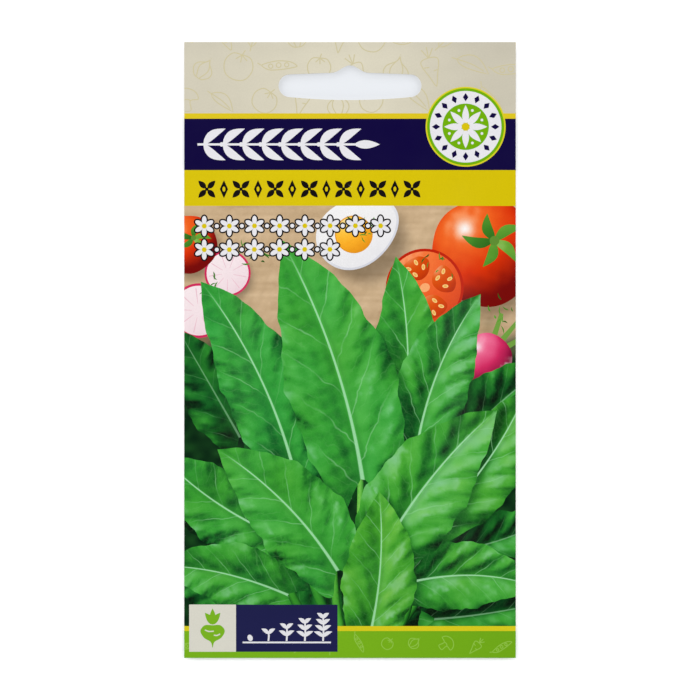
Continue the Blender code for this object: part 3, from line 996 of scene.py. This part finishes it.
def badge(drawing, cx, cy, radius):
    # Plain rings, a ring of dark lozenges, and a white eight-leaved rosette with dots on a green disc
    for share, ink in ((1.0, "limeRing"), (0.962, "badgeGreen"), (0.895, "white"), (0.58, "badgeGreen")):
        drawing.add(ellipse(cx, cy, share * radius, steps=90), inks[ink])

    def ring(count, reach, shape, ink, start=0.0):
        # Copies of a small shape round the badge, each turned outwards
        for k in range(count):
            a = fullTurn * (k + start) / count
            drawing.add(moved(shape, *polar(cx, cy, reach * radius, a), radius, a), inks[ink])

    ring(16, 0.74, [(-0.105, 0), (0, -0.07), (0.105, 0), (0, 0.07)], "navy")
    ring(8, 0.30, almond(-0.24, 0, 0.24, 0, 0.17), "white")
    ring(8, 0.44, ellipse(0, 0, 0.035, steps=14), "white", 0.5)
    drawing.add(ellipse(cx, cy, 0.10 * radius, steps=24), inks["yellow"])


def turnip(drawing, cx, cy, size):
    # A green turnip with two pale marks and three leaves
    body = mirrored([(0, 0.5), (0.62, 0.5), (0.98, 0.05), (0.7, -0.5), (0.15, -0.85), (0.0, -1.3)])
    drawing.add(moved(curve(body, 6, True), cx, cy, size), inks["plateGreen"])
    for mark in ([(-0.62, 0.12), (-0.3, 0.0), (0.1, 0.02)], [(0.6, -0.2), (0.35, -0.32), (0.1, -0.3)]):
        drawing.add(moved(stroke(curve(mark, 5), 0.1), cx, cy, size), inks["plateWhite"])
    for x, y in ((-0.62, 1.5), (0.0, 1.85), (0.62, 1.5)):
        drawing.add(moved(almond(0, 0.55, x, y, 0.5, 0.08 * x), cx, cy, size), inks["plateGreen"])


def cornerPlate(drawing):
    # A white square with a turnip, and a dark plate with a seed's growth in five steps
    left, middle, right, low, high = -38.8, -27.5, -3.0, -72.8, -61.4
    ground = low + 2.6
    drawing.add(bar(left, low, middle, high), inks["plateWhite"])
    drawing.add(bar(middle, low, right, high), inks["plateNavy"])
    turnip(drawing, (left + middle) / 2, (low + high) / 2 - 0.8, 3.0)
    drawing.add(bar(middle + 1.6, ground - 0.55, right - 1.6, ground - 0.15), inks["white"])
    drawing.add(ellipse(middle + 3.4, ground + 0.75, 0.62, 0.8, 0.4, 20), inks["white"])
    for k in range(1, 5):
        x, tall = middle + 3.4 + k * 4.4, 1.0 + 1.35 * k
        stem = [(x, ground), (x + 0.12, ground + tall * 0.5), (x, ground + tall)]
        drawing.add(stroke(curve(stem, 5), 0.42), inks["white"])
        for pair in range(1, k + 1):
            y = ground + tall * pair / k * 0.94
            reach = 1.5 + 0.18 * k - 0.25 * (pair - 1)
            for side in (-1, 1):
                drawing.add(almond(x, y - 0.5, x + side * reach, y + 0.75, 0.95, 0.1 * side), inks["white"])


# The two prints

beyond = 50  # bands run past the sheet's edges, which cut them off


def band(drawing, low, high, ink):
    drawing.add(bar(-beyond, low, beyond, high), ink)


def topBands(drawing, seed):
    # The header with its faint pattern, the thin stripe and the navy band
    band(drawing, bands["header"], packet["halfLength"] + 1, headerInk)
    scatteredLines(drawing, inks["beigeLine"], headerInk, seed=seed, **ornaments["headerLines"])
    band(drawing, bands["upperStripe"], bands["header"], inks["upperYellow"])
    band(drawing, bands["navy"], bands["upperStripe"], inks["navy"])


ornaments = {  # where each one lies on the front, and how large it is
    "upperFlowers": {"x0": -38.2, "x1": 10.4, "y": 29.9, "rise": 4.9, "count": 8},
    "lowerFlowers": {"x0": -38.2, "x1": -1.8, "y": 24.2, "rise": 4.9, "count": 6},
    "laurel": {"x0": -36.8, "x1": 7.2, "y": 49.6, "rise": 7.6, "pairs": 8},
    "frieze": {"x0": -36.6, "x1": 17.0, "y": 38.8, "rise": 4.4},
    "badge": {"cx": 27.9, "cy": 53.86, "radius": 9.65},
    "headerLines": {"box": (-40, 57, 40, 75), "gap": 9.2, "size": 3.5, "width": 0.26},
    "lowerLines": {"box": (-40, -73.4, 40, -72), "gap": 7.0, "size": 1.9, "width": 0.22, "seed": 9},
}


def frontPrint():
    print("drawing the front")
    drawing = Print()
    picture(drawing)
    daisies(drawing, **ornaments["upperFlowers"])
    daisies(drawing, **ornaments["lowerFlowers"])
    topBands(drawing, 5)
    band(drawing, bands["yellow"], bands["navy"], yellowInk)
    laurel(drawing, **ornaments["laurel"], colour=inks["white"])
    frieze(drawing, **ornaments["frieze"], colour=inks["black"], ground=yellowInk)
    badge(drawing, **ornaments["badge"])
    band(drawing, -packet["halfLength"] - 1, bands["green"], greenInk)
    scatteredLines(drawing, inks["greenLine"], greenInk, **ornaments["lowerLines"])
    band(drawing, bands["green"], bands["lowerStripe"], inks["lowerYellow"])
    cornerPlate(drawing)
    return drawing


backField = {"left": -33.0, "right": 33.0, "months": (33, 38), "steps": (12, 29), "boxes": (-64, -46)}
backInks = {
    "cream": (232, 226, 206),
    "line": (58, 92, 44),
    "box": (247, 243, 228),
    "leaf": (88, 150, 52),
    "soil": (128, 92, 58),
    "seed": (62, 36, 20),
    "rows": (150, 150, 128),
    "ray": (232, 178, 30),
    "sun": (240, 196, 40),
    "drop": (64, 128, 190),
}


def monthRow(drawing, count=12):
    # A box for each month, green for the four sowing months
    left, (low, high) = backField["left"], backField["months"]
    month = (backField["right"] - left) / count
    for k in range(count):
        fill = inks["green"] if 3 <= k <= 6 else backInks["box"]
        box = bar(left + k * month + 0.3, low, left + k * month + month - 0.3, high)
        drawing.outlined(box, backInks["line"], fill, 0.25)


def growingSteps(drawing, count=4, gap=1.6):
    # Boxes with a seed in the soil, and then a seedling with more and more pairs of leaves
    left, (low, high) = backField["left"], backField["steps"]
    step = (backField["right"] - left + gap) / count
    for k in range(count):
        x0, x1 = left + k * step, left + (k + 1) * step - gap
        middle = (x0 + x1) / 2
        drawing.outlined(bar(x0, low, x1, high), backInks["line"], backInks["box"], 0.3)
        drawing.add(bar(x0 + 1.0, low + 1.2, x1 - 1.0, low + 4.6), backInks["soil"])
        if k == 0:
            drawing.add(ellipse(middle, 15.2, 0.8, 1.0, 0.4, 20), backInks["seed"])
            continue
        for pair in range(k + 1):
            for side in (-1, 1):
                tip = (middle + side * (2.4 + 0.7 * k - 0.7 * pair), 18.6 + 2.3 * pair)
                drawing.add(almond(middle, 16.4 + 1.7 * pair, *tip, 1.6, 0.12 * side), backInks["leaf"])
        stem = [(middle, 16.4), (middle + 0.1, 18), (middle, 17.4 + 1.8 * k)]
        drawing.add(stroke(curve(stem, 4), 0.5), backInks["leaf"])


def plainRows(drawing, rows=13, top=5.5, pitch=3.6):
    # Rows of plain bars of random lengths, with every fifth row cut short
    rng = np.random.default_rng(17)
    for row in range(rows):
        y = top - pitch * row
        x, end = backField["left"], backField["right"] if row % 5 != 4 else rng.uniform(-8, 12)
        while x < end - 1.5:
            length = min(rng.uniform(2.2, 9.0), end - x)
            drawing.add(bar(x, y - 0.5, x + length, y + 0.5), backInks["rows"])
            x += length + 1.1


def careBoxes(drawing, width=17, pitch=24.5):
    # Three boxes with a sun, a drop and leaves
    low, high = backField["boxes"]
    sunAt, dropAt, leavesAt = [backField["left"] + pitch * k + width / 2 for k in range(3)]
    for middle in (sunAt, dropAt, leavesAt):
        box = bar(middle - width / 2, low, middle + width / 2, high)
        drawing.outlined(box, backInks["line"], backInks["box"], 0.3)
    for ray in range(12):
        run = [polar(sunAt, -55, r, math.pi * ray / 6) for r in (4.1, 5.2, 6.3)]
        drawing.add(stroke(np.array(run), 0.7), backInks["ray"])
    drawing.add(ellipse(sunAt, -55, 3.4), backInks["sun"])
    drop = mirrored([(0, 1.5), (0.42, 0.62), (0.78, 0.0), (0.72, -0.62), (0, -1.0)])
    drawing.add(moved(curve(drop, 6, True), dropAt, -56, 4.6), backInks["drop"])
    for lean in (-0.8, 0.0, 0.8):
        tip = (leavesAt + 6 * math.sin(lean), -61 + 11 * math.cos(lean))
        drawing.add(almond(leavesAt, -61.5, *tip, 4.0, 0.08 * np.sign(lean)), backInks["leaf"])


def backPrint():
    # The back repeats the bands round a cream field
    print("drawing the back")
    drawing = Print(-1)
    edge = packet["halfLength"] + 1
    band(drawing, -edge, edge, backInks["cream"])
    topBands(drawing, 15)
    laurel(drawing, -31, 31, ornaments["laurel"]["y"], 6.4, 13, inks["white"])
    band(drawing, -edge, bands["green"], greenInk)
    band(drawing, bands["green"], bands["lowerStripe"], yellowInk)
    monthRow(drawing)
    growingSteps(drawing)
    plainRows(drawing)
    careBoxes(drawing)
    return drawing


# Materials

class Wire:
    # A socket whose arithmetic adds Math nodes
    def __init__(self, tree, socket):
        self.tree, self.socket = tree, socket

    def math(self, operation, other=None, first=None):
        # The operation on this socket and another value, or on a first value and this socket
        made = self.tree.nodes.new("ShaderNodeMath")
        made.operation = operation
        for k, value in enumerate((self, other) if first is None else (first, self)):
            if isinstance(value, Wire):
                self.tree.links.new(value.socket, made.inputs[k])
            elif value is not None:
                made.inputs[k].default_value = value
        return Wire(self.tree, made.outputs[0])

    def __add__(self, other):
        return self.math("ADD", other)

    def __radd__(self, other):
        return self.math("ADD", first=other)

    def __sub__(self, other):
        return self.math("SUBTRACT", other)

    def __rsub__(self, other):
        return self.math("SUBTRACT", first=other)

    def __mul__(self, other):
        return self.math("MULTIPLY", other)

    def __rmul__(self, other):
        return self.math("MULTIPLY", first=other)

    def __pow__(self, other):
        return self.math("POWER", other)


class Look:
    # A material's node tree: node() adds any node from its type, its settings, and the values or links of
    # its sockets, which are named, or numbered as in i0
    def __init__(self, name, **numbers):
        self.material = bpy.data.materials.new(name)
        self.material.use_nodes = True
        self.tree = self.material.node_tree
        self.shader = self.tree.nodes["Principled BSDF"]
        for socket, value in numbers.items():
            self.shader.inputs[socket.replace("_", " ")].default_value = value

    def node(self, kind, settings=None, output=0, **sockets):
        made = self.tree.nodes.new(kind)
        for key, value in (settings or {}).items():
            setattr(made, key, value)
        for key, value in sockets.items():
            socket = made.inputs[int(key[1:])] if key[1:].isdigit() else made.inputs[key.replace("_", " ")]
            if isinstance(value, Wire):
                self.tree.links.new(value.socket, socket)
            else:
                socket.default_value = value
        return Wire(self.tree, made.outputs[output])

    def place(self):
        # Object coordinates in millimetres
        at = self.node("ShaderNodeTexCoord", output=3)
        return self.node("ShaderNodeVectorMath", {"operation": "SCALE"}, i0=at, Scale=1 / millimetre)

    def axes(self, vector):
        # A vector's x and y
        return [self.node("ShaderNodeSeparateXYZ", output=k, Vector=vector) for k in (0, 1)]

    def noise(self, scale, detail=3.0, roughness=0.5):
        return self.node("ShaderNodeTexNoise", Vector=self.place(), Scale=scale, Detail=detail,
                         Roughness=roughness)

    def mix(self, share, low, high, blend="MIX"):
        # Colours mixed by a share: sockets 6 and 7 of the colour Mix node, and output 2
        settings = {"data_type": "RGBA", "blend_type": blend}
        return self.node("ShaderNodeMix", settings, 2, i0=share, i6=low, i7=high)

    def ramp(self, value, low, high):
        # 0 at low, 1 at high, and a smooth step between them
        settings = {"interpolation_type": "SMOOTHSTEP"}
        return self.node("ShaderNodeMapRange", settings, Value=value, From_Min=low, From_Max=high)

    def feed(self, socket, wire):
        self.tree.links.new(wire.socket, self.shader.inputs[socket])

    def bump(self, height, distance, strength):
        relief = self.node("ShaderNodeBump", Strength=strength, Distance=distance, Height=height)
        self.feed("Normal", relief)


veinInks = {  # each kind of vein's share over the leaf, and its linear ink
    "net": (0.04, (0.20, 0.55, 0.18, 1)),
    "beside": (0.22, (0.010, 0.12, 0.015, 1)),
    "thin": (0.09, (0.24, 0.60, 0.22, 1)),
    "side": (0.40, (0.26, 0.60, 0.28, 1)),
    "midrib": (0.80, (0.34, 0.68, 0.38, 1)),
}


def veinLines(look, s, u):
    # Each kind of vein as a mask on the leaf's own place: s along it and u across it
    across, side = u.math("ABSOLUTE"), u.math("SIGN")
    wobble = look.noise(0.22, 2.0) - 0.5
    patchy = look.ramp(look.noise(0.16, 2.0), 0.34, 0.62)
    vein = (s - veins["slant"] * across ** veins["curl"]) * veins["count"]
    vein = vein + side * veins["sideShift"] + wobble * 0.35
    near = (vein.math("FRACT") - 0.5).math("ABSOLUTE")
    thin = ((vein * 3.0 + across * 2.2 + wobble).math("FRACT") - 0.5).math("ABSOLUTE")
    taper = across * (1.0 + 1.9 * s.math("MAXIMUM", 0.0))
    settings = {"feature": "DISTANCE_TO_EDGE"}
    net = look.node("ShaderNodeTexVoronoi", settings, Vector=look.place(), Scale=0.95)
    return {
        "net": look.ramp(net, 0.10, 0.0),
        "beside": look.ramp(across, 0.16, 0.05) * look.ramp(across, 0.03, 0.07),
        "thin": look.ramp(thin, 0.44, 0.495) * look.ramp(across, 0.05, 0.3) * patchy,
        "side": look.ramp(near, 0.462, 0.496) * look.ramp(across, 0.98, 0.30) * (0.25 + 0.75 * patchy),
        "midrib": look.ramp(taper, 0.050, 0.022) * look.ramp(s, 1.0, 0.75),
    }


def printFilm():
    # Print under clear film: inks from the corners, veins from each leaf's own place, a faint paper grain
    look = Look("print under clear film", Coat_Weight=0.25, Coat_Roughness=0.12, Specular_IOR_Level=0.12)
    colour = look.node("ShaderNodeAttribute", {"attribute_name": "ink"})
    leafShare = look.node("ShaderNodeAttribute", {"attribute_name": "leafShare"}, 2)
    s, u = look.axes(look.node("ShaderNodeUVMap", {"uv_map": "leafPlace"}))
    for kind, mask in veinLines(look, s, u).items():
        share, ink = veinInks[kind]
        colour = look.mix(leafShare * mask * share, colour, ink)
    tone = 0.93 + look.noise(2.6, 2.0) * 0.10 + look.noise(0.35) * 0.04
    tone = look.node("ShaderNodeCombineColor", i0=tone, i1=tone, i2=tone)
    look.feed("Base Color", look.mix(1.0, colour, tone, "MULTIPLY"))
    look.feed("Roughness", 0.28 + look.noise(0.12) * 0.12)
    look.bump(look.noise(0.22, 2.0) * 0.7 + look.noise(1.4, 2.0) * 0.12, 0.00004, 0.5)
    return look.material


def barePaper():
    # The laminate's white inner face and cut edges: fibres in the paper
    look = Look("bare paper", Roughness=0.75)
    fibre = look.noise(1.2, 4.0, 0.6)
    look.feed("Base Color", look.mix(fibre, (0.60, 0.59, 0.56, 1), (0.76, 0.75, 0.72, 1)))
    look.bump(fibre, 0.00003, 0.4)
    return look.material


def seedCoat():
    # Shiny brown nutlets: darker and lighter seeds, with fine grain over them
    look = Look("seed coat", Coat_Weight=0.2, Coat_Roughness=0.2)
    each = look.node("ShaderNodeTexVoronoi", {"feature": "F1"}, 1, Vector=look.place(), Scale=0.62)
    each = look.node("ShaderNodeSeparateColor", Color=each)
    grain = look.noise(3.5)
    colour = look.mix(each, (0.055, 0.020, 0.008, 1), (0.17, 0.070, 0.026, 1))
    look.feed("Base Color", look.mix(grain * 0.35, colour, (0.26, 0.13, 0.055, 1)))
    look.feed("Roughness", 0.28 + grain * 0.16)
    look.bump(grain, 0.00003, 0.4)
    return look.material


backdrop = {
    "reach": 9000,
    "shadeAcross": (19.0, 17.5),  # the painted shade behind the slot fades out between these distances from its middle
    "shadeAlong": (6.0, 5.0),
    "glowAt": (450, 1500),
}


def floorLook():
    # A pale floor with painted light: it glows everywhere, and more far from the packet; behind the
    # packet's slot a painted shade makes it greyer
    look = Look("pale floor", Roughness=0.9, Specular_IOR_Level=0.1, Emission_Strength=0.22)
    x, y = look.axes(look.place())
    across, along = x.math("ABSOLUTE"), (y - hangSlot["middle"]).math("ABSOLUTE")
    shaded = look.ramp(across, *backdrop["shadeAcross"]) * look.ramp(along, *backdrop["shadeAlong"])
    lit = look.mix(look.noise(0.004, 2.0), (0.90, 0.905, 0.915, 1), (0.93, 0.93, 0.935, 1))
    # The floor's colour, darker in the painted shade behind the slot
    look.feed("Base Color", look.mix(shaded, lit, (0.25, 0.26, 0.272, 1)))
    distance = look.node("ShaderNodeVectorMath", {"operation": "LENGTH"}, 1, i0=look.place())
    # Painted light: the floor's glow, which rises far from the packet, and the painted shade's tint behind
    # the slot
    glow = look.mix(look.ramp(distance, *backdrop["glowAt"]), (0.94, 0.97, 1.0, 1), (4.4, 4.5, 4.6, 1))
    look.feed("Emission Color", look.mix(shaded, glow, (2.43, 2.49, 2.60, 1)))
    return look.material


# Pieces

looks = [printFilm(), barePaper()]
front = printedSheet("front_sheet", frontPrint(), frontHeight, 1, cutting["frontPictureSpacing"], looks)
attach(front, "root")
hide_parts("front_panel")
back = printedSheet("back_sheet", backPrint(), backHeight, -1, cutting["backPictureSpacing"], looks)
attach(back, "root")
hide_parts("back_panel")

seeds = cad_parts["seeds"]
seeds.data.materials.clear()
seeds.data.materials.append(seedCoat())


# Floor, lamps and camera

print("lighting the scene")
reach = backdrop["reach"] * millimetre
corners = bar(-reach, -reach, reach, reach)
floorMesh = bpy.data.meshes.new("floor")
floorMesh.from_pydata([(x, y, 0) for x, y in corners], [], [(0, 1, 2, 3)])
floorMesh.materials.append(floorLook())
floor = inScene("floor", floorMesh)

softboxes = [  # name, place, width and height in metres, power in watts
    ("left softbox", (-0.62, 0.22, 0.50), (0.5, 0.7), 5.2),
    ("right softbox", (0.62, 0.12, 0.50), (0.5, 0.7), 4.4),
    ("head softbox", (0.0, 0.75, 0.50), (0.8, 0.4), 3.3),
    ("foot softbox", (0.0, -0.75, 0.50), (0.8, 0.4), 2.7),
]
for name, place, (width, height), power in softboxes:
    lamp = bpy.data.lights.new(name, "AREA")
    lamp.shape, lamp.size, lamp.size_y, lamp.energy = "RECTANGLE", width, height, power
    softbox = inScene(name, lamp)
    softbox.location = place
    softbox.rotation_euler = (-Vector(place)).to_track_quat("-Z", "Y").to_euler()

world = bpy.data.worlds.new("studio")
world.use_nodes = True
sky = world.node_tree.nodes["Background"].inputs
sky["Color"].default_value = (0.95, 0.97, 1.0, 1)
sky["Strength"].default_value = 0.04
bpy.context.scene.world = world
bpy.context.scene.view_settings.view_transform = "Standard"

view = {"pixelsPerMillimetre": 4.144, "frame": 700, "lens": 100.0, "sensor": 36.0}
across = view["frame"] / view["pixelsPerMillimetre"] * millimetre
cameraData = bpy.data.cameras.new("camera")
cameraData.lens, cameraData.sensor_width = view["lens"], view["sensor"]
camera = inScene("camera", cameraData)
camera.location = (0, 0, across * view["lens"] / view["sensor"] + packet["sealHeight"] * millimetre)
bpy.context.scene.camera = camera
